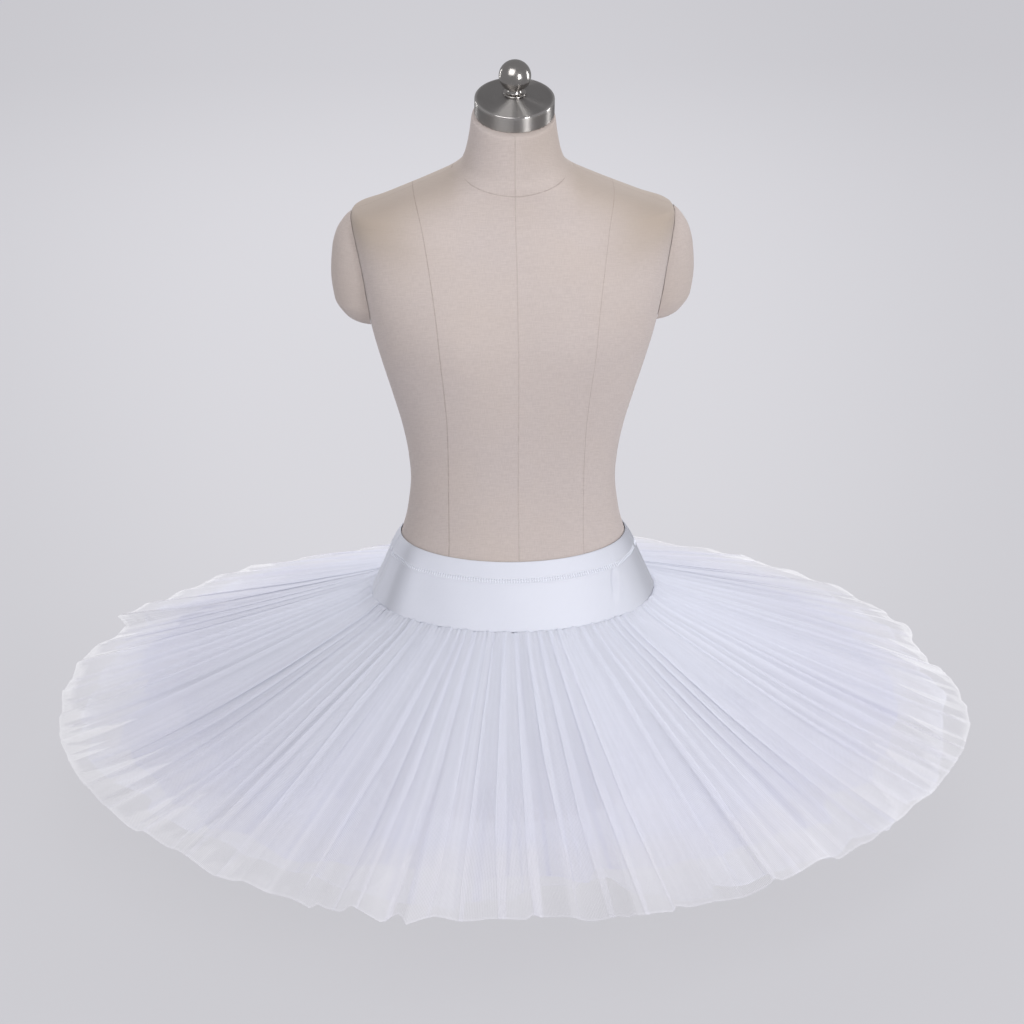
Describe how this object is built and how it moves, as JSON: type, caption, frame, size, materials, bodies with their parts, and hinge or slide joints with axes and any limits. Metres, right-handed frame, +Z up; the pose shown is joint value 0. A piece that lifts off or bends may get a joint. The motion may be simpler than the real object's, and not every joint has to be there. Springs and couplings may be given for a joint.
{
  "type": "ballet tutu on a dress form",
  "caption": "Practice tutu with a smooth satin yoke and gathered net tiers standing out flat, on a limbless cloth-covered dress form with a steel neck cap and ball.",
  "frame": {"origin": "on the floor at the middle of the form's flat base, under the centre of the whole", "axes": "+Z up, the wearer's front towards -Y, the wearer's left towards +X"},
  "size_m": [1.0655, 1.024, 0.8846],
  "materials": {
    "linen": "plain-woven beige linen, matte",
    "brushed_steel": "brushed round the axis",
    "polished_steel": "polished",
    "yoke_satin": "white stretch satin, soft sheen",
    "hip_band_cotton": "plain white cotton, matte",
    "net": "stiff white net, sheer, gathered"
  },
  "bodies": {
    "root": {"torso_form": "linen", "shoulder_cap_left": "linen", "shoulder_cap_right": "linen", "neck_cap": "brushed_steel", "ball_finial": "polished_steel", "yoke_front": "yoke_satin", "yoke_back": "yoke_satin", "hip_band": "hip_band_cotton", "tier_1": "net", "tier_2": "net", "tier_3": "net", "tier_4": "net"}
  },
  "joints": []
}
